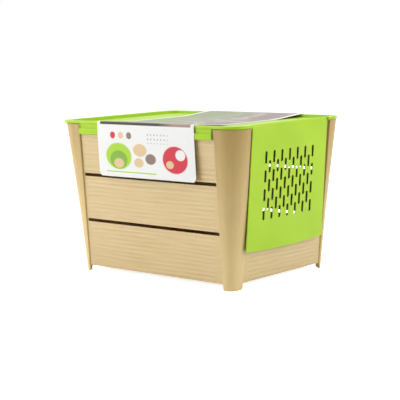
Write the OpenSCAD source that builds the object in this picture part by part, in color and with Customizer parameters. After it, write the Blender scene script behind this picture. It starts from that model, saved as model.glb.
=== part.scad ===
// Potato storage bin: a tapered, wood-grained bin of boards between four round
// corner posts, with a lift-off lid. One end of the lid folds down as a slotted
// flap over a window in the end wall. A printed card sleeve straps the lid.
// Millimetres, +Z up, origin on the table under the middle of the bin. The long
// side runs along X, and the flap is at the +X end.

/* [Bin] */
// Outside length over the corner posts, at the rim
rim_l = 337.6; // [320:0.2:360]
// Outside width over the corner posts, at the rim
rim_w = 251.8; // [236:0.2:270]
// Outside length over the corner posts, at the feet
foot_l = 284.8; // [276:0.2:300]
// Outside width over the corner posts, at the feet
foot_w = 213.6; // [204:0.2:226]
// Height of the bin without its lid
bin_h = 222.2; // [205:0.2:240]
// Wall thickness of the moulding
wall = 2.2; // [1.8:0.1:2.8]
// Height of the boards' lower edges and of the floor's underside
floor_z = 8.7; // [6:0.1:14]

/* [Corner posts] */
// Outside radius of a post at the rim
post_r_rim = 28; // [22:0.5:30]
// Outside radius of a post at its foot
post_r_foot = 10; // [7:0.5:14]
// Width of a post on the long side, at the rim
post_side_rim = 39.1; // [36:0.1:48]
// Width of a post on the long side, at its foot
post_side_foot = 16.1; // [14.5:0.1:24]
// Width of a post on the end, at the rim
post_end_rim = 34.5; // [32:0.1:37]
// Width of a post on the end, at its foot
post_end_foot = 23.1; // [20:0.1:25]
// How far the posts stand proud of the boards of a long side
side_step = 2.5; // [1.8:0.1:3.2]
// How far the posts stand proud of the end walls
end_step = 4; // [3.9:0.1:5]
// Radius of the lower inner corners of a foot
foot_corner_r = 4.5; // [2:0.5:6]

/* [Boards] */
// Height of the lower slot's middle
slot_lo_z = 78.9; // [60:0.1:95]
// Height of the upper slot's middle
slot_hi_z = 147.4; // [125:0.1:160]
// Height of the slots between the boards
slot_h = 4.6; // [3.6:0.1:7]

/* [Window] */
// Width of the window in the flap end
window_w = 148; // [120:1:156]
// Height of the window's sill
window_sill_z = 64; // [40:1:80]
// Height of the window's head
window_head_z = 204; // [180:1:208]
// Radius of the window's corners
window_r = 10; // [4:1:20]

/* [Lid] */
// How far the lid reaches out past the posts at each end
lid_end_out = 1; // [0.7:0.1:2.2]
// How far the lid's rim stays in from the posts' faces on each long side
lid_side_in = 0.5; // [0.1:0.1:0.9]
// Height of the lid's rim above the bin's rim
lid_rise = 4.8; // [4:0.1:7]
// Depth of the tray in the lid's top
tray_depth = 4.6; // [3:0.1:5]
// Thickness of the lid's plate
plate_t = 2; // [1.5:0.1:2.6]
// Width of the lid's rim beside the tray
lid_rim_w = 6.6; // [6.2:0.1:9]
// Radius of the lid's corners at the flap end
lid_r_flap_end = 26; // [20:0.5:30]
// Radius of the lid's corners at the plain end
lid_r_plain_end = 20; // [16:0.5:26]
// Height of the shadow gap between the posts and the lid's rim
shadow_gap = 1; // [0.6:0.1:1.6]
// Depth of the shadow gap, in from the lid's edge
shadow_in = 2.2; // [1.5:0.1:3]
// How far the lid's plug reaches down into the bin
plug_d = 2.4; // [2.2:0.1:5]
// Play between the lid's plug and the walls
plug_play = 0.6; // [0.4:0.1:1]

/* [Clip strips] */
// Gap between a clip strip and the corner posts
strip_end_gap = 3.2; // [2.4:0.1:6]
// Height of the lower edge of a clip strip below the bin's rim
strip_drop = 14.2; // [11:0.1:20]
// Height of a strip's thick lower bar
strip_bar_h = 8.5; // [6:0.1:9]
// How far the bar stands proud of the lid's rim
strip_bar_out = 0.9; // [0.4:0.1:1.4]
// Thickness of the strip's web above the bar
strip_web_t = 1; // [0.8:0.1:1.1]
// Thickness of the strip's end caps
strip_cap_t = 1.5; // [1:0.1:3]
// Play between a strip and the boards
strip_play = 0.3; // [0.25:0.05:0.4]

/* [Flap] */
// Outside radius of the fold between lid and flap
fold_r = 4.6; // [3.6:0.1:4.8]
// Thickness of the film hinge in the fold
film_t = 0.8; // [0.5:0.1:1]
// Thickness of the flap
flap_t = 1.8; // [1.5:0.1:2]
// Gap between the flap and each corner post at the rim
flap_side_gap = 4.6; // [1.8:0.1:8]
// How much further out each lower corner of the flap is than its upper one
flap_flare = 2; // [0:0.1:3]
// Height of the flap's lower corners
flap_low_z = 52.5; // [45:0.5:80]
// How far the flap's lower edge bows down between its corners
flap_bow = 3; // [1:0.5:6]
// Radius of the flap's lower corners
flap_corner_r = 3; // [1:0.5:6]
// How far the flap's top sits in behind the posts' faces
flap_in = 1.8; // [1.6:0.1:1.9]
// How far the flap's lower edge hangs out from the slope of the end wall
flap_low_out = 6.8; // [6.5:0.1:8.3]
// Gap between the film hinge and the flap, which lets the flap swing up
flap_gap = 0.7; // [0.6:0.05:0.9]
// Play between the film hinge and the lid's rim on each side
film_play = 0.3; // [0.2:0.05:0.5]

/* [Ventilation slots] */
// Number of full columns of slots
vent_cols = 7; // [3:1:8]
// Number of slots in a full column
vent_rows = 4; // [2:1:5]
// Spacing of the full columns
vent_pitch_y = 18.07; // [12:0.01:19]
// Spacing of the slots in a column
vent_pitch_z = 26.3; // [22:0.1:28]
// Length of a slot
vent_l = 17.2; // [10:0.1:18]
// Width of a slot
vent_w = 3.2; // [2:0.1:4]
// Height of the vent field's middle
vent_mid_z = 141.4; // [130:0.1:150]

/* [Card sleeve] */
// Width of the card
card_w = 184.6; // [150:0.2:190]
// Place of the card's middle along the lid
card_x = 5; // [-10:0.5:10]
// Thickness of the card
card_t = 0.6; // [0.4:0.1:0.8]
// Height of the card's lower edges
card_low_z = 149; // [130:0.5:190]
// Length of the card's slope from the rim down into the tray
card_slope_l = 60; // [40:1:90]
// Radius of the card's lower corners
card_corner_r = 4; // [2:0.5:8]
// Play between the card and what it lies on
card_play = 0.15; // [0.1:0.05:0.3]

/* [Hidden] */
$fn = 64;

// Straight steps in a quarter circle of a lofted corner, and of a small fold
arc_n = 12;
fold_n = 6;
// How far a cutting body reaches past what it cuts
over = 1;

// Half length and half width over the posts at height z
function half_l(z) = (foot_l + (rim_l - foot_l) * z / bin_h) / 2;
function half_w(z) = (foot_w + (rim_w - foot_w) * z / bin_h) / 2;
// Outside radius of a post at height z
function post_r(z) = post_r_foot + (post_r_rim - post_r_foot) * z / bin_h;
// Where the posts end and the boards begin, on a long side and on an end
function side_edge(z) = half_l(z) - post_side_foot - (post_side_rim - post_side_foot) * z / bin_h;
function end_edge(z) = half_w(z) - post_end_foot - (post_end_rim - post_end_foot) * z / bin_h;

end_lean = atan((rim_l - foot_l) / 2 / bin_h);
side_lean = atan((rim_w - foot_w) / 2 / bin_h);

lid_l = rim_l + 2 * lid_end_out;
lid_w = rim_w - 2 * lid_side_in;
lid_top = bin_h + lid_rise;
lip_z = bin_h + shadow_gap;
tray_z = lid_top - tray_depth;
plate_z = tray_z - plate_t;
plug_z = bin_h - plug_d;
plug_half_l = end_in(plug_z) - plug_play;
plug_half_w = side_in(plug_z) - plug_play;
tray_half_l = plug_half_l - plate_t;
tray_half_w = plug_half_w - plate_t;

strip_half_l = side_edge(bin_h - strip_drop) - strip_end_gap;
strip_in_y = half_w(bin_h) - side_step + strip_play;
strip_bar_y = lid_w / 2 + strip_bar_out;
strip_low_z = bin_h - strip_drop;

fold_x = half_l(bin_h) - flap_in - fold_r;
fold_z = lid_top - fold_r;
flap_w_top = 2 * (end_edge(bin_h) - flap_side_gap);
flap_w_low = flap_w_top + 2 * flap_flare;
flap_top_z = fold_z - flap_gap;
flap_lean = atan(tan(end_lean) - flap_low_out / (flap_top_z - flap_low_z));
flap_h = (flap_top_z - flap_low_z) / cos(flap_lean);
flap_top_x = fold_x + fold_r;

// A solid with plan outline a at height z0 and b at z1, point for point
module loft(a, b, z0, z1) {
    n = len(a);
    lower = [for (p = a) [p[0], p[1], z0]];
    upper = [for (p = b) [p[0], p[1], z1]];
    sides = [for (i = [0 : n - 1]) let (j = (i + 1) % n) each [[i, j, n + j], [i, n + j, n + i]]];
    caps = [[for (i = [n - 1 : -1 : 0]) i], [for (i = [0 : n - 1]) n + i]];
    polyhedron(points = concat(lower, upper), faces = concat(caps, sides));
}

// A quarter circle from the +Y side round to the +X side
function corner(cx, cy, r) =
    [for (i = [0 : arc_n]) let (t = 90 - 90 * i / arc_n) [cx + r * cos(t), cy + r * sin(t)]];

// Inner faces of the boards of a long side and of the end walls at height z
function side_in(z) = half_w(z) - side_step - wall;
function end_in(z) = half_l(z) - end_step - wall;

// Plans at height z of the post in the +X +Y corner: its outside, the bay behind
// its walls, and a box from inside the bin out to x, y
function post_plan(z) =
    let (l = half_l(z), w = half_w(z), r = post_r(z), sx = side_edge(z), ey = end_edge(z))
    concat([[sx, ey], [sx, w]], corner(l - r, w - r, r), [[l, ey]]);
function bay_plan(z) =
    let (l = half_l(z), w = half_w(z), r = post_r(z), sx = side_edge(z) + wall, ey = end_edge(z) + wall)
    concat([[sx, ey], [sx, w - wall]], corner(l - r, w - r, r - wall), [[l - wall, ey]]);
function inside_plan(z, x, y) =
    let (sx = side_edge(z) - over, ey = end_edge(z) - over) [[sx, ey], [sx, y], [x, y], [x, ey]];

// Inside plan of the bin in the +X +Y quarter at height z, from Y to X
function floor_quarter(z) =
    let (l = half_l(z), w = half_w(z), r = post_r(z), sx = side_edge(z) + wall, ey = end_edge(z) + wall)
    concat([[sx, side_in(z)], [sx, w - wall]], corner(l - r, w - r, r - wall), [[l - wall, ey], [end_in(z), ey]]);
function floor_plan(z) =
    let (q = floor_quarter(z), n = len(q) - 1)
    concat(q, [for (i = [n : -1 : 0]) [q[i][0], -q[i][1]]],
           [for (p = q) -p], [for (i = [n : -1 : 0]) [-q[i][0], q[i][1]]]);

module wood() color([0.87, 0.77, 0.60]) children();
module green() color([0.69, 0.86, 0.29]) children();

// Rounds one lower inner corner of a foot; the foot's edge is at x = 0
module foot_corner(depth) {
    rotate([90, 0, 0])
        linear_extrude(depth, center = true)
            difference() {
                translate([-over, -over]) square(foot_corner_r + over);
                translate([foot_corner_r, foot_corner_r]) circle(foot_corner_r);
            }
}

module post(sx, sy) {
    low = -over;
    high = bin_h + over;
    wood() mirror([sx < 0 ? 1 : 0, 0, 0]) mirror([0, sy < 0 ? 1 : 0, 0])
        difference() {
            loft(post_plan(0), post_plan(bin_h), 0, bin_h);
            loft(bay_plan(low), bay_plan(high), low, high);
            loft(inside_plan(low, side_edge(low) + 2 * wall, side_in(low)),
                 inside_plan(high, side_edge(high) + 2 * wall, side_in(high)), low, high);
            loft(inside_plan(low, end_in(low), end_edge(low) + 2 * wall),
                 inside_plan(high, end_in(high), end_edge(high) + 2 * wall), low, high);
            translate([side_edge(0), half_w(0), 0]) foot_corner(post_end_foot);
            translate([half_l(0), end_edge(0), 0]) rotate([0, 0, 90]) foot_corner(post_side_foot);
        }
}

// A board that leans out towards +X: its outer face is foot_x from the middle
// at z = 0, and its ends run from edge_foot at z = 0 to edge_rim at the rim.
// The children are cut through it, drawn along Y and up the board's slope
module board(foot_x, lean, edge_foot, edge_rim, z0, z1) {
    low = (z0 - over) / cos(lean);
    high = (z1 + over) / cos(lean);
    low_edge = edge_foot + (edge_rim - edge_foot) * (z0 - over) / bin_h;
    high_edge = edge_foot + (edge_rim - edge_foot) * (z1 + over) / bin_h;
    t = wall * cos(lean);
    wood() intersection() {
        translate([foot_x, 0, 0]) rotate([0, lean, 0]) translate([-t, 0, 0]) rotate([90, 0, 90])
            linear_extrude(t) difference() {
                polygon([[-low_edge, low], [low_edge, low], [high_edge, high], [-high_edge, high]]);
                children();
            }
        translate([0, -rim_l / 2, z0]) cube([rim_l, rim_l, z1 - z0]);
    }
}

// The three boards of a wall, from the bottom up: 0, 1 and 2
function board_z(i) = [floor_z, slot_lo_z + slot_h / 2, slot_hi_z + slot_h / 2][i];
function board_top_z(i) = [slot_lo_z - slot_h / 2, slot_hi_z - slot_h / 2, bin_h][i];

module side_board(i, sy)
    rotate([0, 0, sy * 90])
        board(half_w(0) - side_step, side_lean, side_edge(0), side_edge(bin_h), board_z(i), board_top_z(i));

module end_board(i)
    rotate([0, 0, 180])
        board(half_l(0) - end_step, end_lean, end_edge(0), end_edge(bin_h), board_z(i), board_top_z(i));

module floor_plate()
    wood() translate([0, 0, floor_z]) linear_extrude(wall) polygon(floor_plan(floor_z));

module window_wall() {
    window_h = (window_head_z - window_sill_z) / cos(end_lean);
    window_mid = (window_head_z + window_sill_z) / 2 / cos(end_lean);
    board(half_l(0) - end_step, end_lean, end_edge(0), end_edge(bin_h), floor_z, bin_h)
        translate([0, window_mid]) round_plate(window_w, window_h, window_r, window_r);
}

// A rectangle centred on the origin with corner radii r0 at -X and r1 at +X
module round_plate(l, w, r0, r1) {
    for (s = [-1, 1]) {
        translate([-l / 2 + r0, s * (w / 2 - r0)]) circle(r0);
        translate([l / 2 - r1, s * (w / 2 - r1)]) circle(r1);
    }
    translate([-l / 2 + r0, -w / 2]) square([l - r0 - r1, w]);
    translate([-l / 2, -w / 2 + r0]) square([r0, w - 2 * r0]);
    translate([l / 2 - r1, -w / 2 + r1]) square([r1, w - 2 * r1]);
}

// The lid's outline drawn in by the same distance all round
module lid_outline(inset)
    round_plate(lid_l - 2 * inset, lid_w - 2 * inset, lid_r_plain_end - inset, lid_r_flap_end - inset);

module plug_outline()
    round_plate(2 * plug_half_l, 2 * plug_half_w, lid_r_flap_end - lid_rim_w / 2, lid_r_flap_end - lid_rim_w / 2);

module tray_outline()
    round_plate(2 * tray_half_l, 2 * tray_half_w, lid_r_plain_end - plate_t, lid_r_plain_end - plate_t);

module lid_panel() {
    green() difference() {
        union() {
            translate([0, 0, lip_z]) linear_extrude(lid_top - lip_z) lid_outline(0);
            translate([0, 0, bin_h]) linear_extrude(shadow_gap) lid_outline(shadow_in);
            translate([0, 0, plug_z]) linear_extrude(plug_d) plug_outline();
        }
        translate([0, 0, tray_z]) linear_extrude(lid_top - tray_z + over) tray_outline();
        translate([0, 0, plug_z - over]) linear_extrude(plate_z - plug_z + over) tray_outline();
        // Room for the fold between the two posts
        translate([fold_x, -flap_w_top / 2 - film_play, plug_z - over])
            cube([lid_l, flap_w_top + 2 * film_play, lid_top]);
    }
}

module clip_strip(sy) {
    web_z = strip_low_z + strip_bar_h;
    green() mirror([0, sy < 0 ? 1 : 0, 0]) union() {
        translate([-strip_half_l, strip_in_y, strip_low_z])
            cube([2 * strip_half_l, strip_bar_y - strip_in_y, strip_bar_h]);
        translate([-strip_half_l, strip_in_y, web_z])
            cube([2 * strip_half_l, strip_web_t, lip_z - web_z]);
        for (x = [-strip_half_l, strip_half_l - strip_cap_t])
            translate([x, strip_in_y, web_z])
                cube([strip_cap_t, lid_w / 2 - strip_in_y, lip_z - web_z]);
    }
}

// A quarter tube along Y from the lid's edge over and down to the flap
module hinge_film() {
    green() translate([fold_x, flap_w_top / 2, fold_z]) rotate([90, 0, 0])
        linear_extrude(flap_w_top)
            intersection() {
                difference() {
                    circle(fold_r);
                    circle(fold_r - film_t);
                }
                square(fold_r + over);
            }
}

// Outline of the flap: y across, z down from the fold; straight sides, round
// lower corners and a lower edge on one long arc
flap_bow_r = (pow(flap_w_low / 2, 2) + pow(flap_bow, 2)) / 2 / flap_bow;
module flap_outline() {
    bow_from = asin((flap_w_low / 2 - flap_corner_r) / flap_bow_r);
    bow_step = bow_from / arc_n;
    side = flap_w_low / 2 - flap_corner_r;
    polygon(concat(
        [[-flap_w_top / 2, 0], [flap_w_top / 2, 0]],
        [for (i = [0 : fold_n]) let (t = 90 * i / fold_n)
            [side + flap_corner_r * cos(t), -flap_h + flap_corner_r - flap_corner_r * sin(t)]],
        [for (i = [1 : 2 * arc_n - 1]) let (t = bow_from - bow_step * i)
            [flap_bow_r * sin(t), -flap_h - flap_bow_r * cos(t) + flap_bow_r * cos(bow_from)]],
        [for (i = [fold_n : -1 : 0]) let (t = 90 * i / fold_n)
            [-side - flap_corner_r * cos(t), -flap_h + flap_corner_r - flap_corner_r * sin(t)]]));
}

module vent() {
    square([vent_w, vent_l - vent_w], center = true);
    for (s = [-1, 1]) translate([0, s * (vent_l - vent_w) / 2]) circle(vent_w / 2);
}

// Full columns, and between them columns with one slot less at half pitch
module vents() {
    for (c = [0 : 2 * vent_cols - 2]) {
        rows = vent_rows - c % 2;
        for (r = [0 : rows - 1])
            translate([(c - vent_cols + 1) * vent_pitch_y / 2, (r - (rows - 1) / 2) * vent_pitch_z]) vent();
    }
}

module flap() {
    vent_down = (flap_top_z - vent_mid_z) / cos(flap_lean);
    green() translate([flap_top_x, 0, flap_top_z]) rotate([0, flap_lean, 0])
        translate([-flap_t, 0, 0]) rotate([90, 0, 90])
            linear_extrude(flap_t) difference() {
                flap_outline();
                translate([0, -vent_down]) vents();
            }
}

// The card's middle line from its lower front edge up, over the rim and into
// the tray, as far as the middle of the lid
card_out_y = strip_bar_y + card_play + card_t / 2;
card_low_y = half_w(bin_h) - side_step + 2 * card_play + card_t / 2;
card_rim_z = lid_top + card_play + card_t / 2;
card_fold_r = card_out_y - lid_w / 2 + card_t;
card_tray_z = tray_z + card_play + card_t / 2;
card_half = concat(
    [[-card_low_y, card_low_z], [-card_out_y, strip_low_z], [-card_out_y, card_rim_z - card_fold_r]],
    [for (i = [1 : fold_n]) let (t = 90 * i / fold_n)
        [-card_out_y + card_fold_r * (1 - cos(t)), card_rim_z - card_fold_r * (1 - sin(t))]],
    [[-tray_half_w, card_rim_z], [-tray_half_w + card_slope_l, card_tray_z]]);
card_path = concat(card_half, [for (i = [len(card_half) - 1 : -1 : 0]) [-card_half[i][0], card_half[i][1]]]);

// The path's point i moved square to the path by d
function unit(v) = v / norm(v);
function side_of(path, i, d) =
    let (n = len(path) - 1,
         a = i == 0 ? path[1] - path[0] : path[i] - path[i - 1],
         b = i == n ? path[n] - path[n - 1] : path[i + 1] - path[i],
         m = unit(unit(a) + unit(b)), k = m * unit(a))
    path[i] + [-m[1], m[0]] * d / k;

module card_sleeve() {
    n = len(card_path) - 1;
    color([0.94, 0.95, 0.96]) difference() {
        translate([card_x - card_w / 2, 0, 0]) rotate([90, 0, 90])
            linear_extrude(card_w)
                polygon(concat([for (i = [0 : n]) side_of(card_path, i, card_t / 2)],
                               [for (i = [n : -1 : 0]) side_of(card_path, i, -card_t / 2)]));
        for (s = [-1, 1])
            translate([card_x + s * card_w / 2, 0, card_low_z]) mirror([s > 0 ? 1 : 0, 0, 0])
                rotate([90, 0, 0]) linear_extrude(2 * lid_w, center = true)
                    difference() {
                        translate([-over, -over]) square(card_corner_r + over);
                        translate([card_corner_r, card_corner_r]) circle(card_corner_r);
                    }
    }
}

floor_plate();
post(1, -1);  // post_front_flap_end
post(1, 1);  // post_back_flap_end
post(-1, -1);  // post_front_plain_end
post(-1, 1);  // post_back_plain_end
side_board(2, -1);  // front_board_top
side_board(1, -1);  // front_board_middle
side_board(0, -1);  // front_board_bottom
side_board(2, 1);  // back_board_top
side_board(1, 1);  // back_board_middle
side_board(0, 1);  // back_board_bottom
end_board(2);  // end_board_top
end_board(1);  // end_board_middle
end_board(0);  // end_board_bottom
window_wall();
lid_panel();
clip_strip(-1);  // clip_strip_front
clip_strip(1);  // clip_strip_back
hinge_film();
flap();
card_sleeve();
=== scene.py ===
from math import cos, pi, radians, sin, sqrt

import bmesh
import bpy
from mathutils import Matrix, Vector, noise


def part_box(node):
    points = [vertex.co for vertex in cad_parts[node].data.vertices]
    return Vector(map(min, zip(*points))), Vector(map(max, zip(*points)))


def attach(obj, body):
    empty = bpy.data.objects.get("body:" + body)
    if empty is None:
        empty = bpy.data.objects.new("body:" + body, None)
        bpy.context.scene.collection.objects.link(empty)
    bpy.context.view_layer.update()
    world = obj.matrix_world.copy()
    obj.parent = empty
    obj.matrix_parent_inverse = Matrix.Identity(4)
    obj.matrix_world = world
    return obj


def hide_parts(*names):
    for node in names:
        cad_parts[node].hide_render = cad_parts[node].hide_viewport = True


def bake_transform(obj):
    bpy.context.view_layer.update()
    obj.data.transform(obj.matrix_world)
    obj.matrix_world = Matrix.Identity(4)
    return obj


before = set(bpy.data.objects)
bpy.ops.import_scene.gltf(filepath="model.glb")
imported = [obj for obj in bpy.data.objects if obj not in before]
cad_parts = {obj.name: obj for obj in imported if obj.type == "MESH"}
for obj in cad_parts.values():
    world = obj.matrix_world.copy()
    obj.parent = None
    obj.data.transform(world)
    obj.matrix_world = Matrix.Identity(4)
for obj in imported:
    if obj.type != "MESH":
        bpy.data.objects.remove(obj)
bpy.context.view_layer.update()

MM = 0.001

# The bin. The rim comes from the frame; the feet, posts and steps repeat the part's own sizes
HALF_RIM_L, HALF_RIM_W, BIN_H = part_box("post_back_flap_end")[1]
HALF_FOOT_L = 142.4 * MM
HALF_FOOT_W = 106.8 * MM
WALL = 2.2 * MM
FLOOR_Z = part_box("floor_plate")[0].z
POST_R_RIM = 28 * MM
POST_R_FOOT = 12 * MM
SIDE_STEP = 2.5 * MM
END_STEP = 4 * MM
FOOT_STEP = 1.6 * MM
FOOT_SIDE_R = 1.5 * MM
FOOT_END_R = 4.5 * MM
POST_EDGE_R = 1.2 * MM
POST_ROWS = 74

# Widths of a post's two faces, each at the foot and at the rim: on the long side, on the end wall.
# The key is the post's end (+1 flap end, -1 plain end) and side (+1 back, -1 front)
POST_W = {
    (1, -1): ((16.1 * MM, 39.1 * MM), (23.1 * MM, 34.5 * MM)),
    (1, 1): ((9.8 * MM, 39.1 * MM), (9.4 * MM, 34.5 * MM)),
    (-1, -1): ((9.8 * MM, 42.2 * MM), (9.4 * MM, 34.5 * MM)),
    (-1, 1): ((9.8 * MM, 42.2 * MM), (9.4 * MM, 34.5 * MM)),
}

# The slots between the boards, from the frame, and the smooth band that closes their ends
LOW_SLOT = (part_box("front_board_bottom")[1].z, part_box("front_board_middle")[0].z)
HIGH_SLOT = (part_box("front_board_middle")[1].z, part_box("front_board_top")[0].z)
SLOT_BAND = 2 * MM
SLOT_EDGE_R = 0.5 * MM

# The window behind the flap
WINDOW_HALF_W = 74 * MM
WINDOW_SILL_Z = 64 * MM
WINDOW_HEAD_Z = 204 * MM
WINDOW_R = 10 * MM

# Wood grain: its pitch, its relief and the spacing of the mesh that carries it
GRAIN_PITCH = 6.2 * MM
GRAIN_DEPTH = 0.10 * MM
GRAIN_ROW = 0.85 * MM
GRAIN_COLUMN = 3.5 * MM
PLAIN_BAND_FOOT = 12 * MM
PLAIN_BAND = 3 * MM
PLAIN_BAND_Z = 130 * MM
BAND_FADE = 3 * MM
STOP_FADE = 1.5 * MM
STREAK_PITCH = 3.4 * MM
STREAK_DEPTH = 0.035 * MM

# The lid
HALF_LID_L, HALF_LID_W, LID_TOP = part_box("lid_panel")[1]
LIP_Z = BIN_H + 1 * MM
SHADOW_IN = 2.2 * MM
PLUG_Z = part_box("lid_panel")[0].z
PLUG_PLAY = 0.6 * MM
PLATE_T = 2 * MM
TRAY_Z = LID_TOP - 4.6 * MM
LID_R_FLAP_END = 26 * MM
LID_R_PLAIN_END = 20 * MM
PLUG_R = LID_R_FLAP_END - 3.3 * MM
TRAY_R = LID_R_PLAIN_END - PLATE_T
RIM_EDGE_R = 1.1 * MM
TRAY_EDGE_R = 0.9 * MM

# The flap and the fold that it hangs from
FOLD_R = 4.6 * MM
FOLD_STEPS = 9
FOLD_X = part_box("hinge_film")[0].x
FOLD_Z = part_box("hinge_film")[0].z
FILM_T = 0.8 * MM
FLAP_T = 1.8 * MM
FLAP_LOW, FLAP_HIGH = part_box("flap")
FLAP_HALF_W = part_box("hinge_film")[1].y
FILM_PLAY = 0.3 * MM
FLAP_EDGE_R = 0.8 * MM
VENT_EDGE_R = 0.4 * MM
VENT_FIELD_W = 62 * MM
VENT_FIELD_LOW = 5 * MM
VENT_FIELD_TOP = 25 * MM
VENT_WIDER = 1.45
VENT_FLARE = 2.2

# The card sleeve
CARD_LOW, CARD_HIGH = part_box("card_sleeve")
CARD_MID_X = (CARD_LOW.x + CARD_HIGH.x) / 2
CARD_HALF_W = (CARD_HIGH.x - CARD_LOW.x) / 2
CARD_T = 0.5 * MM
CARD_OUT_Y = CARD_HIGH.y - 0.3 * MM
CARD_LOW_Y = HALF_RIM_W - SIDE_STEP + 0.6 * MM
CARD_RIM_Z = LID_TOP + 0.45 * MM
CARD_TRAY_Z = TRAY_Z + 0.45 * MM
CARD_SLOPE_L = 60 * MM
CARD_CORNER_R = 4 * MM
CARD_COLUMNS = 48
STRIP_LOW_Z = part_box("clip_strip_front")[0].z

# The studio: how strongly the white floor is seen, and the room's light on the object
FLOOR_GLOW = 0.8
ROOM_LIGHT = 0.36

# The painted shade that the posts darken to under the rim, and the two tones of the lid's green
RIM_SHADE_STRAW = (0.26, 0.16, 0.02, 1)
LEAF_LOW = (0.285, 0.455, 0.012, 1)
LEAF_HIGH = (0.314, 0.490, 0.015, 1)

# The card's inks, and the motifs on its flaps: middle, half size and ink, in print units of 100 mm
CARD_WHITE = (0.645, 0.645, 0.635, 1)
CARD_SHADE = (0.610, 0.610, 0.600, 1)
LEAF_GREEN = (0.30, 0.50, 0.035, 1)
DEEP_GREEN = (0.17, 0.34, 0.03, 1)
TILE_RED = (0.48, 0.03, 0.045, 1)
STRAW_TONE = (0.56, 0.41, 0.24, 1)
EARTH_BROWN = (0.20, 0.145, 0.12, 1)
# Painted shadow along the card's front fold: near-black at the left, rose-brown towards the right
FOLD_SHADOW_BLACK = (0.03, 0.025, 0.012, 1)
FOLD_SHADOW_ROSE = (0.28, 0.19, 0.15, 1)
ROSE_GREY = (0.25, 0.20, 0.19, 1)
MOSS_GREY = (0.20, 0.23, 0.13, 1)
DOT_GREY = (0.36, 0.37, 0.38, 1)
TOP_PRINT_V = 0.745
FRONT_MOTIFS = [
    ((-0.52, 0.30), (0.25, 0.19), LEAF_GREEN),
    ((-0.52, 0.25), (0.17, 0.13), DEEP_GREEN),
    ((-0.52, 0.20), (0.10, 0.07), STRAW_TONE),
    ((-0.10, 0.40), (0.13, 0.09), STRAW_TONE),
    ((0.10, 0.28), (0.10, 0.075), EARTH_BROWN),
    ((-0.13, 0.22), (0.09, 0.065), STRAW_TONE),
    ((0.56, 0.29), (0.23, 0.19), TILE_RED),
    ((0.66, 0.36), (0.09, 0.075), CARD_WHITE),
    ((0.46, 0.22), (0.07, 0.055), STRAW_TONE),
    ((-0.62, 0.60), (0.05, 0.05), TILE_RED),
    ((-0.46, 0.60), (0.05, 0.05), STRAW_TONE),
    ((-0.30, 0.60), (0.05, 0.05), EARTH_BROWN),
]


def by_height(at_foot, at_rim, z):
    return at_foot + (at_rim - at_foot) * z / BIN_H


def half_l(z):
    return by_height(HALF_FOOT_L, HALF_RIM_L, z)


def half_w(z):
    return by_height(HALF_FOOT_W, HALF_RIM_W, z)


def side_edge(z, end, side):
    """Where a long side's boards end and the post at that end and side begins."""
    return half_l(z) - by_height(*POST_W[end, side][0], z)


def end_edge(z, end, side):
    """Where an end wall ends and the post at that end and side begins."""
    return half_w(z) - by_height(*POST_W[end, side][1], z)


def post_radius(z, end, side):
    faces = [by_height(*face, z) for face in POST_W[end, side]]
    return min(by_height(POST_R_FOOT, POST_R_RIM, z), min(faces) - POST_EDGE_R)


# ---------------------------------------------------------------- mesh helpers

def round_off(distance, radius):
    """How far a rounded corner draws back, at this distance from where it ends."""
    short = radius - max(min(distance, radius), 0)
    return radius - sqrt(radius ** 2 - short ** 2)


def span(start, end, steps):
    """Evenly spaced values from start to end, both included."""
    return [start + (end - start) * i / steps for i in range(steps + 1)]


def lay_grid(bm, columns, rows, place):
    """A grid whose vertex in column i and row j is put at place(i, j)."""
    made = bmesh.ops.create_grid(bm, x_segments=columns, y_segments=rows, size=1)
    for vert in made["verts"]:
        i = round((vert.co.x + 1) / 2 * columns)
        j = round((vert.co.y + 1) / 2 * rows)
        vert.co = place(i, j)
    return made["verts"]


def give_thickness(bm, inward):
    """Turns the open sheet into a closed wall. inward holds each vertex's way to the inner face."""
    made = bmesh.ops.extrude_face_region(bm, geom=bm.faces[:])
    for part in made["geom"]:
        if isinstance(part, bmesh.types.BMVert):
            part.co += part[inward]
    close_up(bm)


def close_up(bm):
    bmesh.ops.remove_doubles(bm, verts=bm.verts, dist=0.002 * MM)
    bmesh.ops.dissolve_degenerate(bm, edges=bm.edges, dist=0.002 * MM)
    bmesh.ops.recalc_face_normals(bm, faces=bm.faces)


def sharp_edges(bm, angle):
    return [edge for edge in bm.edges
            if len(edge.link_faces) == 2 and edge.calc_face_angle() > angle]


def round_edges(bm, edges, radius, segments=2):
    bmesh.ops.bevel(bm, geom=edges, offset=radius, offset_type="OFFSET", segments=segments,
                    profile=0.5, affect="EDGES", clamp_overlap=True, material=-1)


def make_piece(name, bm, material, stands_for, body=None, flat_faces=False):
    """The finished mesh as a piece: smooth but for its sharp edges, and riding on its body."""
    for face in bm.faces:
        face.smooth = True
    for edge in sharp_edges(bm, radians(38)):
        edge.smooth = False
    mesh = bpy.data.meshes.new(name)
    bm.to_mesh(mesh)
    bm.free()
    piece = bpy.data.objects.new(name, mesh)
    bpy.context.scene.collection.objects.link(piece)
    mesh.materials.append(material)
    if body:
        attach(piece, body)
    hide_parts(*stands_for)
    if flat_faces:
        piece.modifiers.new("even_flats", "WEIGHTED_NORMAL").keep_sharp = True
    return piece


def node_copy(name):
    """A merged copy of a CAD node's mesh, with its flat faces whole."""
    bm = bmesh.new()
    bm.from_mesh(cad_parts[name].data)
    bmesh.ops.remove_doubles(bm, verts=bm.verts, dist=0.002 * MM)
    bmesh.ops.dissolve_limit(bm, angle_limit=radians(0.5), verts=bm.verts, edges=bm.edges)
    return bm


# ------------------------------------------------------------------- materials

def add_node(tree, kind, inputs=None, **settings):
    made = tree.nodes.new(kind)
    for name, value in settings.items():
        setattr(made, name, value)
    for name, value in (inputs or {}).items():
        if isinstance(value, bpy.types.NodeSocket):
            tree.links.new(value, made.inputs[name])
        else:
            made.inputs[name].default_value = value
    return made


def new_material(name):
    material = bpy.data.materials.new(name)
    material.use_nodes = True
    tree = material.node_tree
    return material, tree, tree.nodes["Principled BSDF"]


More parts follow.
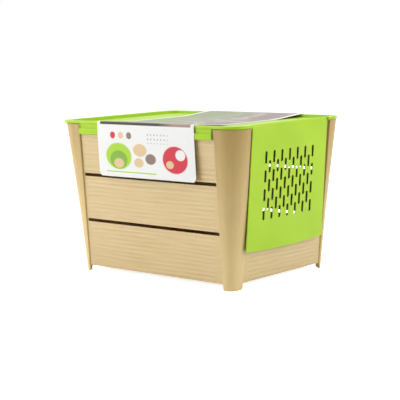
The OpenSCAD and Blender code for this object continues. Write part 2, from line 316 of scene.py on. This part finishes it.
def spots(tree, place, stretch, scale, detail, roughness=0.5):
    """Noise on the piece's own place, drawn out along the axes with a small stretch."""
    mapped = add_node(tree, "ShaderNodeMapping", {"Vector": place, "Scale": stretch}).outputs["Vector"]
    return add_node(tree, "ShaderNodeTexNoise", {"Vector": mapped, "Scale": scale, "Detail": detail,
                                                 "Roughness": roughness}).outputs["Fac"]


def spread(tree, value, low, high):
    """The middle of a noise's range spread over low to high."""
    return add_node(tree, "ShaderNodeMapRange", {"Value": value, "From Min": 0.3, "From Max": 0.7,
                                                 "To Min": low, "To Max": high}).outputs["Result"]


def over(tree, below, colour, mask):
    """A colour laid over what lies below it, as far as the mask says."""
    return add_node(tree, "ShaderNodeMixRGB", {"Fac": mask, "Color1": below,
                                               "Color2": colour}).outputs["Color"]


def let_light_in(shader, share, tint):
    """Thin moulded walls that glow a little: the share of light that goes in, and how far by colour."""
    shader.inputs["Subsurface Weight"].default_value = share
    shader.inputs["Subsurface Radius"].default_value = tint
    shader.inputs["Subsurface Scale"].default_value = 5 * MM


def straw_plastic(name, stretch, valley, ridge, cloud_tone, level, relief_shade, rim_shade):
    """Straw-coloured plastic with moulded wood grain that runs along the axes of small stretch.

    The ridges that the mesh carries are painted paler than its valleys, by its relief attribute, as
    painted shade on the relief, and a painted shade darkens the colour from the foot towards the rim.
    """
    material, tree, shader = new_material(name)
    place = add_node(tree, "ShaderNodeTexCoord").outputs["Object"]
    grain = spots(tree, place, stretch, 1 / (2.4 * MM), 3, 0.6)
    cloud = spots(tree, place, (1, 1, 1), 1 / (60 * MM), 2)
    # Painted shade on the grain: the relief attribute makes valleys darker and ridges paler, over the
    # relief's own shading; the noise grain is the plastic's own colour
    relief = add_node(tree, "ShaderNodeAttribute", attribute_name="relief").outputs["Fac"]
    height = add_node(tree, "ShaderNodeMath", {0: relief, 1: relief_shade, 2: grain},
                      operation="MULTIPLY_ADD")
    ramp = add_node(tree, "ShaderNodeValToRGB", {"Fac": height.outputs["Value"]})
    ramp.color_ramp.elements[0].position = 0.15
    ramp.color_ramp.elements[0].color = valley
    ramp.color_ramp.elements[1].position = 0.85
    ramp.color_ramp.elements[1].color = ridge
    colour = over(tree, ramp.outputs["Color"], cloud_tone, spread(tree, cloud, 0, 0.25))
    # Painted shade: the colour darkens from the foot towards the rim, where the lid's rim shades the
    # posts
    z = add_node(tree, "ShaderNodeSeparateXYZ", {"Vector": place}).outputs["Z"]
    up = add_node(tree, "ShaderNodeMapRange", {"Value": z, "From Max": BIN_H, "To Max": rim_shade})
    colour = over(tree, colour, RIM_SHADE_STRAW, up.outputs["Result"])
    bump = add_node(tree, "ShaderNodeBump", {"Height": grain, "Strength": 0.35,
                                             "Distance": 0.12 * MM})
    tree.links.new(colour, shader.inputs["Base Color"])
    tree.links.new(spread(tree, grain, 0.40, 0.50), shader.inputs["Roughness"])
    tree.links.new(bump.outputs["Normal"], shader.inputs["Normal"])
    shader.inputs["Specular IOR Level"].default_value = level
    let_light_in(shader, 0.2, (1, 0.45, 0.1))
    return material


def lid_plastic():
    """Yellow-green plastic with a satin gloss and a faint moulded ripple."""
    material, tree, shader = new_material("green_satin_plastic")
    place = add_node(tree, "ShaderNodeTexCoord").outputs["Object"]
    cloud = spots(tree, place, (1, 1, 1), 1 / (45 * MM), 2)
    ripple = spots(tree, place, (1, 1, 1), 1 / (7 * MM), 2)
    pores = spots(tree, place, (1, 1, 1), 1 / (0.5 * MM), 2)
    colour = over(tree, LEAF_LOW, LEAF_HIGH, spread(tree, cloud, 0, 1))
    heights = add_node(tree, "ShaderNodeMath", {0: ripple, 1: pores}, operation="ADD")
    bump = add_node(tree, "ShaderNodeBump", {"Height": heights.outputs["Value"], "Strength": 0.2,
                                             "Distance": 0.04 * MM})
    tree.links.new(colour, shader.inputs["Base Color"])
    tree.links.new(spread(tree, pores, 0.30, 0.36), shader.inputs["Roughness"])
    tree.links.new(bump.outputs["Normal"], shader.inputs["Normal"])
    shader.inputs["IOR"].default_value = 1.27
    let_light_in(shader, 0.15, (0.5, 1, 0.08))
    return material


def oval(tree, place, middle, half):
    """1 inside the oval with that middle and those half sizes on the print map."""
    scale = (1 / half[0], 1 / half[1], 0)
    offset = (-middle[0] / half[0], -middle[1] / half[1], 0)
    own = add_node(tree, "ShaderNodeVectorMath", {0: place, 1: scale, 2: offset},
                   operation="MULTIPLY_ADD")
    far = add_node(tree, "ShaderNodeVectorMath", {0: own.outputs["Vector"]}, operation="LENGTH")
    mask = add_node(tree, "ShaderNodeMapRange", {"Value": far.outputs["Value"], "From Min": 1.04,
                                                 "From Max": 0.96, "To Min": 0, "To Max": 1})
    return mask.outputs["Result"]


def between(tree, value, low, high, soft):
    """1 where the value lies between low and high, with soft edges."""
    rise = add_node(tree, "ShaderNodeMapRange", {"Value": value, "From Min": low,
                                                 "From Max": low + soft})
    fall = add_node(tree, "ShaderNodeMapRange", {"Value": value, "From Min": high,
                                                 "From Max": high - soft})
    return times(tree, rise.outputs["Result"], fall.outputs["Result"])


def times(tree, a, b):
    return add_node(tree, "ShaderNodeMath", {0: a, 1: b}, operation="MULTIPLY").outputs["Value"]


def printed_card():
    """Satin white card with a plain printed pattern of ovals, dots and a stripe, a mottled top, and a
    painted shadow along the front fold.
    """
    material, tree, shader = new_material("printed_white_card")
    place = add_node(tree, "ShaderNodeUVMap", uv_map="print").outputs["UV"]
    parts = add_node(tree, "ShaderNodeSeparateXYZ", {"Vector": place}).outputs
    u, v = parts["X"], parts["Y"]
    on_card = add_node(tree, "ShaderNodeTexCoord").outputs["Object"]
    fibres = spots(tree, on_card, (1, 1, 1), 1 / (1.5 * MM), 3, 0.7)
    colour = over(tree, CARD_WHITE, CARD_SHADE, spread(tree, fibres, 0, 0.5))

    for middle, half, ink in FRONT_MOTIFS:
        colour = over(tree, colour, ink, oval(tree, place, middle, half))
    dots = add_node(tree, "ShaderNodeTexVoronoi", {"Vector": place, "Scale": 16, "Randomness": 0})
    dot = add_node(tree, "ShaderNodeMath", {0: dots.outputs["Distance"], 1: 0.22},
                   operation="LESS_THAN")
    field = times(tree, between(tree, u, 0.02, 0.44, 0.001), between(tree, v, 0.50, 0.66, 0.001))
    colour = over(tree, colour, DOT_GREY, times(tree, dot.outputs["Value"], field))
    stripe = between(tree, v, 0.065, 0.085, 0.004)
    colour = over(tree, colour, LEAF_GREEN, times(tree, stripe, between(tree, u, -0.78, 0.20, 0.004)))

    mottle = spots(tree, place, (1, 1, 1), 2.4, 3, 0.6)
    ground = over(tree, MOSS_GREY, ROSE_GREY, between(tree, u, -0.2, 3, 0.7))
    brown = times(tree, spread(tree, mottle, -0.3, 1.4), between(tree, u, -0.1, 3, 0.8))
    ground = over(tree, ground, EARTH_BROWN, brown)
    white = times(tree, spread(tree, mottle, 0.6, -0.6), between(tree, u, -0.6, 3, 1))
    ground = over(tree, ground, CARD_WHITE, white)
    # Painted shadow: a band along the front fold, rose-brown and near-black towards the left, where the
    # card's fold shades the gap beneath it
    band = between(tree, v, 0.5, TOP_PRINT_V + 0.08, 0.02)
    ground = over(tree, ground, FOLD_SHADOW_ROSE, band)
    ground = over(tree, ground, FOLD_SHADOW_BLACK, times(tree, band, between(tree, u, -3, 0.55, 0.3)))
    top = times(tree, between(tree, v, TOP_PRINT_V, 9, 0.01), between(tree, u, -0.87, 0.87, 0.01))
    colour = over(tree, colour, ground, top)

    bump = add_node(tree, "ShaderNodeBump", {"Height": fibres, "Strength": 0.15,
                                             "Distance": 0.05 * MM})
    tree.links.new(colour, shader.inputs["Base Color"])
    tree.links.new(spread(tree, fibres, 0.32, 0.42), shader.inputs["Roughness"])
    tree.links.new(bump.outputs["Normal"], shader.inputs["Normal"])
    shader.inputs["Specular IOR Level"].default_value = 0.2
    return material


# ------------------------------------------------------------------- the bin

def grain_relief(along, z, seed):
    """The grain at a place on a board, about -1 to 1: long wavering ridges of uneven strength."""
    waver = noise.noise(Vector((along / (150 * MM), z / (45 * MM), seed)))
    strength = 0.6 + 0.9 * noise.noise(Vector((along / (70 * MM), z / (10 * MM), seed + 5)))
    fine = noise.noise(Vector((along / (80 * MM), z / (2.6 * MM), seed + 9)))
    return strength * sin(2 * pi * z / GRAIN_PITCH + 3 * waver) + 0.6 * fine


def plain_band(z):
    """The width of the ungrained band beside a post."""
    return max(PLAIN_BAND, PLAIN_BAND_FOOT + (PLAIN_BAND - PLAIN_BAND_FOOT) * z / PLAIN_BAND_Z)


def window_snap(along, z):
    """The nearest place on the window's outline, and whether this place lies inside it."""
    half_h = (WINDOW_HEAD_Z - WINDOW_SILL_Z) / 2
    up = z - (WINDOW_HEAD_Z + WINDOW_SILL_Z) / 2
    core = Vector((max(min(along, WINDOW_HALF_W - WINDOW_R), WINDOW_R - WINDOW_HALF_W),
                   max(min(up, half_h - WINDOW_R), WINDOW_R - half_h)))
    out = Vector((along, up)) - core
    inside = out.length < WINDOW_R
    if out.length == 0:
        return inside, None
    edge = core + out.normalized() * WINDOW_R
    return inside, (edge.x, edge.y + (WINDOW_HEAD_Z + WINDOW_SILL_Z) / 2)


def wall_rows(slots):
    """Heights of the mesh rows, with a row on each slot's lower and upper edge."""
    stops = [FLOOR_Z] + [z for slot in slots for z in slot] + [BIN_H]
    rows = []
    for low, high in zip(stops[0::2], stops[1::2]):
        rows += span(low, high, round((high - low) / GRAIN_ROW))
    return rows


def grained_wall(name, stands_for, outward, face, edge, seed, slots=(), window=False):
    """A wall of the bin: its outer face is face(z) from the middle, and runs from post to post.

    edge(z, way) is how far it runs towards +1 or -1 of the axis along the wall.
    """
    right = Vector((0, 0, 1)).cross(outward)
    turn = round(right.x + right.y)
    steps = round(2 * edge(BIN_H, 1) / GRAIN_COLUMN)
    columns = [(0, 0)] + [(share, 1) for share in span(0, 1, steps)] + [(1, 2)]
    rows = wall_rows(slots)
    bm = bmesh.new()
    inward = bm.verts.layers.float_vector.new("inward")
    relief = bm.verts.layers.float.new("relief")
    flat = {}

    def ends(z, margin=0):
        return margin - edge(z, -turn), edge(z, turn) - margin

    def place(i, j):
        share, band = columns[i]
        z = rows[j]
        low, high = ends(z, SLOT_BAND)
        along = low + share * (high - low) + (band - 1) * SLOT_BAND
        flat[(i, j)] = (along, z)
        return right * along + outward * face(z) + Vector((0, 0, z))

    stops = [FLOOR_Z, BIN_H] + [z for slot in slots for z in slot]
    verts = lay_grid(bm, len(columns) - 1, len(rows) - 1, place)
    width = len(columns)
    for index, vert in enumerate(verts):
        i, j = index % width, index // width
        along, z = flat[(i, j)]
        low, high = ends(z, plain_band(z))
        from_band = max(min(along - low, high - along, BAND_FADE), 0) / BAND_FADE
        from_stop = min(min(abs(z - stop) for stop in stops), STOP_FADE) / STOP_FADE
        vert[relief] = grain_relief(along, z, seed) * from_band * from_stop
        lift = GRAIN_DEPTH * vert[relief]
        vert.co += outward * lift
        vert[inward] = -outward * (WALL + lift)

    gone = []
    for face_of_grid in bm.faces:
        middle = face_of_grid.calc_center_median()
        along, z = middle.dot(right), middle.z
        low, high = ends(z, SLOT_BAND)
        if any(bottom < z < top for bottom, top in slots) and low < along < high:
            gone.append(face_of_grid)
        if window and window_snap(along, z)[0]:
            gone.append(face_of_grid)
    bmesh.ops.delete(bm, geom=gone, context="FACES")
    if window:
        snap_window(bm, right, outward, face, inward)
    give_thickness(bm, inward)
    round_edges(bm, sharp_edges(bm, radians(60)), SLOT_EDGE_R)
    return make_piece(name, bm, BOARD_STRAW, stands_for, "bin")


def snap_window(bm, right, outward, face, inward):
    """Moves the opening's stepped edge onto the window's round-cornered outline."""
    for vert in bm.verts:
        along, z = vert.co.dot(right), vert.co.z
        beside = abs(along) < WINDOW_HALF_W + 8 * MM
        level = WINDOW_SILL_Z - 3 * MM < z < WINDOW_HEAD_Z + 3 * MM
        if vert.is_boundary and beside and level:
            along, z = window_snap(along, z)[1]
            vert.co = right * along + outward * face(z) + Vector((0, 0, z))
            vert[inward] = -outward * WALL


def make_walls():
    def side_face(z):
        return half_w(z) - by_height(FOOT_STEP, SIDE_STEP, z)

    def end_face(z):
        return half_l(z) - by_height(FOOT_STEP, END_STEP, z)

    both = (LOW_SLOT, HIGH_SLOT)
    levels = ("top", "middle", "bottom")
    for side, name, seed in ((-1, "front", 1), (1, "back", 2)):
        boards = [name + "_board_" + level for level in levels]
        grained_wall(name + "_wall", boards, Vector((0, side, 0)), side_face,
                     lambda z, way: side_edge(z, way, side), seed, both)
    boards = ["end_board_" + level for level in levels]
    grained_wall("plain_end_wall", boards, Vector((-1, 0, 0)), end_face,
                 lambda z, way: end_edge(z, -1, way), 3, both)
    grained_wall("flap_end_wall", ["window_wall"], Vector((1, 0, 0)), end_face,
                 lambda z, way: end_edge(z, 1, way), 4, window=True)


def post_plan(z, end, side):
    """A post's plan as if in the +X +Y corner at height z: (outer, inner, outward) from side to end."""
    long, wide, r = half_l(z), half_w(z), post_radius(z, end, side)
    start_x, start_y, e = side_edge(z, end, side), end_edge(z, end, side), POST_EDGE_R
    side_in, end_in = wide - SIDE_STEP - WALL, long - END_STEP - WALL
    plan = [((start_x, side_in), (start_x + WALL, side_in), (-1, 0))]
    for t in span(pi, pi / 2, 3):
        c, s = cos(t), sin(t)
        plan.append(((start_x + e + e * c, wide - e + e * s), (start_x + WALL, wide - WALL), (c, s)))
    for x in span(start_x + e, long - r, 9)[1:-1]:
        plan.append(((x, wide), (max(x, start_x + WALL), wide - WALL), (0, 1)))
    for t in span(pi / 2, 0, 30):
        c, s = cos(t), sin(t)
        outer = (long - r + r * c, wide - r + r * s)
        inner = (long - r + (r - WALL) * c, wide - r + (r - WALL) * s)
        plan.append((outer, inner, (c, s)))
    for y in span(wide - r, start_y + e, 9)[1:-1]:
        plan.append(((long, y), (long - WALL, max(y, start_y + WALL)), (1, 0)))
    for t in span(0, -pi / 2, 3):
        c, s = cos(t), sin(t)
        plan.append(((long - e + e * c, start_y + e + e * s), (long - WALL, start_y + WALL), (c, s)))
    plan.append(((end_in, start_y), (end_in, start_y + WALL), (0, -1)))
    return plan


def make_post(name, end, side, seed, material):
    foot = post_plan(0, end, side)
    rows = POST_ROWS
    bm = bmesh.new()
    inward = bm.verts.layers.float_vector.new("inward")
    relief = bm.verts.layers.float.new("relief")

    def turned(x, y, z=0):
        return Vector((end * x, side * y, z))

    def place(i, j):
        x, y = foot[i][0]
        low = max(round_off(x - side_edge(0, end, side), FOOT_SIDE_R),
                  round_off(y - end_edge(0, end, side), FOOT_END_R))
        z = low + (BIN_H - low) * j / rows
        x, y = post_plan(z, end, side)[i][0]
        return turned(x, y, z)

    verts = lay_grid(bm, len(foot) - 1, rows, place)
    width = len(foot)
    for index, vert in enumerate(verts):
        i = index % width
        (x, y), (xi, yi), (nx, ny) = post_plan(vert.co.z, end, side)[i]
        streak = noise.noise(Vector((x / STREAK_PITCH, y / STREAK_PITCH, vert.co.z / (70 * MM) + seed)))
        vert[relief] = 1.6 * streak * min(i, width - 1 - i, 4) / 4
        lift = STREAK_DEPTH * vert[relief]
        vert.co += turned(nx, ny) * lift
        vert[inward] = turned(xi - x, yi - y) - turned(nx, ny) * lift
    give_thickness(bm, inward)
    round_edges(bm, sharp_edges(bm, radians(60)), 0.5 * MM)
    return make_piece(name + "_shell", bm, material, [name], "bin")


def make_posts():
    make_post("post_front_flap_end", 1, -1, 11, POST_STRAW)
    make_post("post_back_flap_end", 1, 1, 12, POST_STRAW)
    # The plain-end posts take the paler copy of the post plastic: painted light
    make_post("post_front_plain_end", -1, -1, 13, LIT_COPY_POST_STRAW)
    make_post("post_back_plain_end", -1, 1, 14, LIT_COPY_POST_STRAW)


# ------------------------------------------------------------------- the lid

def ring_plan(length, width, r_plain, r_flap, notched):
    """A closed outline with round corners. The flap end steps back to the fold where notched."""
    gap = FLAP_HALF_W + FILM_PLAY
    back = FOLD_X if notched else length
    points = []
    corners = [(length - r_flap, width - r_flap, r_flap, 0),
               (r_plain - length, width - r_plain, r_plain, pi / 2),
               (r_plain - length, r_plain - width, r_plain, pi),
               (length - r_flap, r_flap - width, r_flap, 3 * pi / 2)]
    for cx, cy, r, start in corners:
        points += [(cx + r * cos(t), cy + r * sin(t)) for t in span(start, start + pi / 2, 14)]
    points += [(length, -gap), (back, -gap), (back, gap), (length, gap)]
    return points + points[:1]


def make_lid_panel():
    plug_l = half_l(PLUG_Z) - END_STEP - WALL - PLUG_PLAY
    plug_w = half_w(PLUG_Z) - SIDE_STEP - WALL - PLUG_PLAY
    tray_l, tray_w = plug_l - PLATE_T, plug_w - PLATE_T

    def rim(inset, z):
        plan = ring_plan(HALF_LID_L - inset, HALF_LID_W - inset, LID_R_PLAIN_END - inset,
                         LID_R_FLAP_END - inset, True)
        return [(x, y, z) for x, y in plan]

    def plug(z):
        return [(x, y, z) for x, y in ring_plan(plug_l, plug_w, PLUG_R, PLUG_R, False)]

    def tray(out, z):
        plan = ring_plan(tray_l + out, tray_w + out, TRAY_R + out, TRAY_R + out, False)
        return [(x, y, z) for x, y in plan]

    e, f = RIM_EDGE_R, TRAY_EDGE_R
    rings = [tray(0, TRAY_Z - PLATE_T), tray(0, PLUG_Z), plug(PLUG_Z), plug(BIN_H),
             rim(SHADOW_IN, BIN_H), rim(SHADOW_IN, LIP_Z), rim(0.3 * MM, LIP_Z), rim(0, LIP_Z + 0.3 * MM)]
    rings += [rim(e - e * cos(t), LID_TOP - e + e * sin(t)) for t in span(0, pi / 2, 4)]
    rings += [tray(f - f * sin(t), LID_TOP - f + f * cos(t)) for t in span(0, pi / 2, 3)]
    rings += [tray(-f + f * cos(t), TRAY_Z + f - f * sin(t)) for t in span(0, pi / 2, 3)]

    bm = bmesh.new()
    lay_grid(bm, len(rings[0]) - 1, len(rings) - 1, lambda i, j: Vector(rings[j][i]))
    bmesh.ops.remove_doubles(bm, verts=bm.verts, dist=0.002 * MM)
    bmesh.ops.holes_fill(bm, edges=[edge for edge in bm.edges if edge.is_boundary], sides=0)
    close_up(bm)
    return make_piece("lid_tray", bm, LID_GREEN, ["lid_panel"], "lid")


def make_clip_strip(name):
    bm = node_copy(name)
    round_edges(bm, sharp_edges(bm, radians(50)), 0.35 * MM)
    return make_piece(name + "_moulding", bm, LID_GREEN, [name], "lid", True)


def in_vent_field(vert):
    low, high = FLAP_LOW.z + VENT_FIELD_LOW, FLAP_HIGH.z - VENT_FIELD_TOP
    return abs(vert.co.y) < VENT_FIELD_W and low < vert.co.z < high


def flare_vents(bm):
    """Widens each vent towards the back of the flap, so that it draws cleanly from its mould."""
    low, high = FLAP_LOW, FLAP_HIGH
    lean = (high.x - low.x - FLAP_T) / (high.z - low.z)
    broad = [face for face in bm.faces if abs(face.normal.x) > 0.9]
    rims = [edge for edge in bm.edges if sum(face in broad for face in edge.link_faces) == 1]
    bmesh.ops.delete(bm, geom=broad, context="FACES")
    field = [vert for vert in bm.verts if in_vent_field(vert)]

    def on_front(vert):
        return vert.co.x > high.x - (high.z - vert.co.z) * lean - FLAP_T / 2

    columns = []
    for vert in sorted(field, key=lambda vert: vert.co.y):
        if not columns or vert.co.y - columns[-1][-1].co.y > 2 * MM:
            columns.append([])
        columns[-1].append(vert)
    for column in columns:
        middle = (column[0].co.y + column[-1].co.y) / 2
        for vert in column:
            wider = VENT_WIDER if on_front(vert) else VENT_FLARE
            vert.co.y = middle + (vert.co.y - middle) * wider
    for front in (True, False):
        rim = [edge for edge in rims if on_front(edge.verts[0]) == front]
        bmesh.ops.triangle_fill(bm, edges=rim, use_beauty=True, use_dissolve=False)
    bmesh.ops.recalc_face_normals(bm, faces=bm.faces)
    bmesh.ops.dissolve_limit(bm, angle_limit=radians(0.5), verts=bm.verts, edges=bm.edges)


def top_face(bm):
    """The flap's narrow upper face, where the film begins."""
    upper = [face for face in bm.faces if face.normal.z > 0.9 and face.calc_area() > 1e-4]
    return max(upper, key=lambda face: face.calc_center_median().z)


def make_flap():
    """The slotted flap, drawn up from its top edge into the film and over the fold to the lid."""
    bm = node_copy("flap")
    flare_vents(bm)
    top = top_face(bm)
    sharp = [edge for edge in sharp_edges(bm, radians(50)) if edge not in top.edges]
    round_edges(bm, [edge for edge in sharp if in_vent_field(edge.verts[0])], VENT_EDGE_R)
    top = top_face(bm)
    sharp = [edge for edge in sharp_edges(bm, radians(50)) if edge not in top.edges]
    round_edges(bm, [edge for edge in sharp if not in_vent_field(edge.verts[0])], FLAP_EDGE_R, 3)
    top = top_face(bm)
    hinge = Vector((FOLD_X, 0, FOLD_Z))
    turn = Matrix.Rotation(-pi / 2 / FOLD_STEPS, 3, "Y")
    for step in range(FOLD_STEPS + 1):
        made = bmesh.ops.extrude_face_region(bm, geom=[top])["geom"]
        if top.is_valid:
            bmesh.ops.delete(bm, geom=[top], context="FACES_ONLY")
        top = [part for part in made if isinstance(part, bmesh.types.BMFace)][0]
        verts = top.verts[:]
        if step == 0:
            middle = top.calc_center_median().x
            for vert in verts:
                out = FOLD_R if vert.co.x > middle else FOLD_R - FILM_T
                across = max(min(vert.co.y, FLAP_HALF_W), -FLAP_HALF_W)
                vert.co = Vector((FOLD_X + out, across, FOLD_Z))
        else:
            bmesh.ops.rotate(bm, verts=verts, cent=hinge, matrix=turn)
    bmesh.ops.recalc_face_normals(bm, faces=bm.faces)
    piece = make_piece("flap_and_fold", bm, LID_GREEN, ["flap", "hinge_film"],
                       flat_faces=True)
    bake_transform(piece)


# ------------------------------------------------------------------ the card

def softened(points):
    """The line of (y, z, bend) points with a smooth bend of that length at each inner point."""
    line = [Vector(points[0][:2])]
    for before, here, after in zip(points, points[1:], points[2:]):
        knee = Vector(here[:2])
        into = (Vector(before[:2]) - knee).normalized() * here[2] + knee
        out = (Vector(after[:2]) - knee).normalized() * here[2] + knee
        for t in span(0, 1, 6):
            line.append(into * (1 - t) ** 2 + knee * 2 * t * (1 - t) + out * t ** 2)
    line.append(Vector(points[-1][:2]))
    return line


def card_line():
    """The card's middle line across the bin, from the lower front edge to the lower back edge."""
    tray_w = half_w(PLUG_Z) - SIDE_STEP - WALL - PLUG_PLAY - PLATE_T
    half = [(-CARD_LOW_Y, CARD_LOW.z, 0), (-CARD_OUT_Y, STRIP_LOW_Z, 6 * MM),
            (-CARD_OUT_Y, CARD_RIM_Z, 1.6 * MM), (-tray_w, CARD_RIM_Z, 3 * MM),
            (CARD_SLOPE_L - tray_w, CARD_TRAY_Z, 14 * MM)]
    whole = half + [(-y, z, bend) for y, z, bend in half[::-1]]
    line = softened(whole)
    rows = [line[0]]
    for start, end in zip(line, line[1:]):
        steps = max(1, round((end - start).length / (5 * MM)))
        rows += [start.lerp(end, share) for share in span(0, 1, steps)[1:]]
    return rows


def make_card():
    line = card_line()
    lengths = [0]
    for start, end in zip(line, line[1:]):
        lengths.append(lengths[-1] + (end - start).length)
    columns = CARD_COLUMNS
    bm = bmesh.new()
    inward = bm.verts.layers.float_vector.new("inward")
    print_map = bm.loops.layers.uv.new("print")

    def place(i, j):
        from_end = min(lengths[j], lengths[-1] - lengths[j])
        half = CARD_HALF_W - round_off(from_end, CARD_CORNER_R)
        across = (2 * i / columns - 1) * half
        return Vector((CARD_MID_X + across, line[j].x, line[j].y))

    verts = lay_grid(bm, columns, len(line) - 1, place)
    for index, vert in enumerate(verts):
        j = index // (columns + 1)
        before, after = line[max(j - 1, 0)], line[min(j + 1, len(line) - 1)]
        along = (after - before).normalized()
        out = Vector((0, -along.y, along.x))
        vert.co += out * CARD_T / 2
        vert[inward] = -out * CARD_T
    bm.verts.index_update()
    for face in bm.faces:
        for loop in face.loops:
            length = lengths[loop.vert.index // (columns + 1)]
            up = min(length, lengths[-1] - length)
            loop[print_map].uv = ((loop.vert.co.x - CARD_MID_X) * 10, up * 10)
    give_thickness(bm, inward)
    make_piece("card_strap", bm, CARD, ["card_sleeve"], "lid")


# ----------------------------------------------------------------- the studio

def seen(tree):
    """1 for light that the camera, a gloss or a clear surface sees, 0 for light on the object."""
    path = add_node(tree, "ShaderNodeLightPath").outputs
    direct = add_node(tree, "ShaderNodeMath", {0: path["Is Camera Ray"], 1: path["Is Glossy Ray"]},
                      operation="ADD").outputs["Value"]
    return add_node(tree, "ShaderNodeMath", {0: direct, 1: path["Is Transmission Ray"]},
                    operation="ADD", use_clamp=True).outputs["Value"]


def make_stage():
    bm = bmesh.new()
    bmesh.ops.create_grid(bm, x_segments=1, y_segments=1, size=6)
    mesh = bpy.data.meshes.new("floor")
    bm.to_mesh(mesh)
    bm.free()
    floor = bpy.data.objects.new("floor", mesh)
    bpy.context.scene.collection.objects.link(floor)
    material, tree, shader = new_material("white_floor")
    shader.inputs["Base Color"].default_value = (0.9, 0.9, 0.9, 1)
    shader.inputs["Roughness"].default_value = 0.9
    shader.inputs["Emission Color"].default_value = (1, 1, 1, 1)
    tree.links.new(times(tree, seen(tree), FLOOR_GLOW), shader.inputs["Emission Strength"])
    mesh.materials.append(material)


def make_world():
    world = bpy.data.worlds.new("white_room")
    bpy.context.scene.world = world
    world.use_nodes = True
    tree = world.node_tree
    back = tree.nodes["Background"]
    back.inputs["Color"].default_value = (1, 1, 1, 1)
    strength = add_node(tree, "ShaderNodeMapRange", {"Value": seen(tree), "To Min": ROOM_LIGHT,
                                                     "To Max": 1})
    tree.links.new(strength.outputs["Result"], back.inputs["Strength"])


def make_lamp(name, azimuth, elevation, distance, size, power):
    """A square softbox that looks at the middle of the bin."""
    lamp = bpy.data.lights.new(name, "AREA")
    lamp.shape = "SQUARE"
    lamp.size = size
    lamp.energy = power
    a, e = radians(azimuth), radians(elevation)
    towards = Vector((sin(a) * cos(e), -cos(a) * cos(e), sin(e)))
    holder = bpy.data.objects.new(name, lamp)
    holder.location = Vector((0, 0, BIN_H / 2)) + towards * distance
    holder.rotation_euler = towards.to_track_quat("Z", "Y").to_euler()
    bpy.context.scene.collection.objects.link(holder)


def make_lamps():
    make_lamp("left_softbox", -46, 29, 1.6, 1.8, 30.5)
    make_lamp("right_softbox", 113, 27, 1.6, 1.5, 20)
    make_lamp("top_softbox", 200, 82, 1.6, 1.6, 18)


def make_camera():
    """The camera that took the photograph, found from the bin's own edges in it."""
    azimuth, pitch, roll = radians(40.79), radians(7.70), radians(1.26)
    distance = 1794.7 * MM
    off_x, off_y = -2.79 * MM, -7.77 * MM
    sensor = 36
    focal_pixels = 1204.9
    photo_pixels = 400
    back = Vector((sin(azimuth) * cos(pitch), -cos(azimuth) * cos(pitch), sin(pitch)))
    level = Vector((cos(azimuth), sin(azimuth), 0))
    upright = back.cross(level)
    across = level * cos(roll) - upright * sin(roll)
    upward = level * sin(roll) + upright * cos(roll)
    place = Vector((0, 0, 112 * MM)) + across * off_x + upward * off_y + back * distance
    data = bpy.data.cameras.new("camera")
    data.sensor_width = sensor
    data.lens = focal_pixels / photo_pixels * sensor
    camera = bpy.data.objects.new("camera", data)
    camera.matrix_world = Matrix((across, upward, back)).transposed().to_4x4()
    camera.matrix_world.translation = place
    bpy.context.scene.collection.objects.link(camera)
    bpy.context.scene.camera = camera


BOARD_STRAW = straw_plastic("straw_board_grain", stretch=(0.05, 0.05, 1),
                            valley=(0.408, 0.299, 0.130, 1), ridge=(0.530, 0.398, 0.192, 1),
                            cloud_tone=(0.53, 0.400, 0.200, 1), level=0.6, relief_shade=0.30, rim_shade=0)
POST_STRAW = straw_plastic("straw_post_grain", stretch=(1, 1, 0.04),
                           valley=(0.505, 0.380, 0.172, 1), ridge=(0.580, 0.442, 0.208, 1),
                           cloud_tone=(0.595, 0.455, 0.218, 1), level=0.45, relief_shade=0.2, rim_shade=0.80)
# Painted light: a paler copy of the post plastic for the plain-end posts, lighter for how light falls on
# them, not a different plastic
LIT_COPY_POST_STRAW = straw_plastic("lit_copy_straw_post_grain", stretch=(1, 1, 0.04),
                                valley=(0.600, 0.450, 0.200, 1), ridge=(0.670, 0.505, 0.240, 1),
                                cloud_tone=(0.68, 0.510, 0.245, 1), level=0.45, relief_shade=0.2,
                                rim_shade=0.75)
LID_GREEN = lid_plastic()
CARD = printed_card()

make_camera()
make_stage()
make_world()
make_lamps()
make_walls()
make_posts()
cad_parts["floor_plate"].material_slots[0].material = BOARD_STRAW
make_lid_panel()
make_clip_strip("clip_strip_front")
make_clip_strip("clip_strip_back")
make_flap()
make_card()

bpy.context.scene.view_settings.view_transform = "Standard"
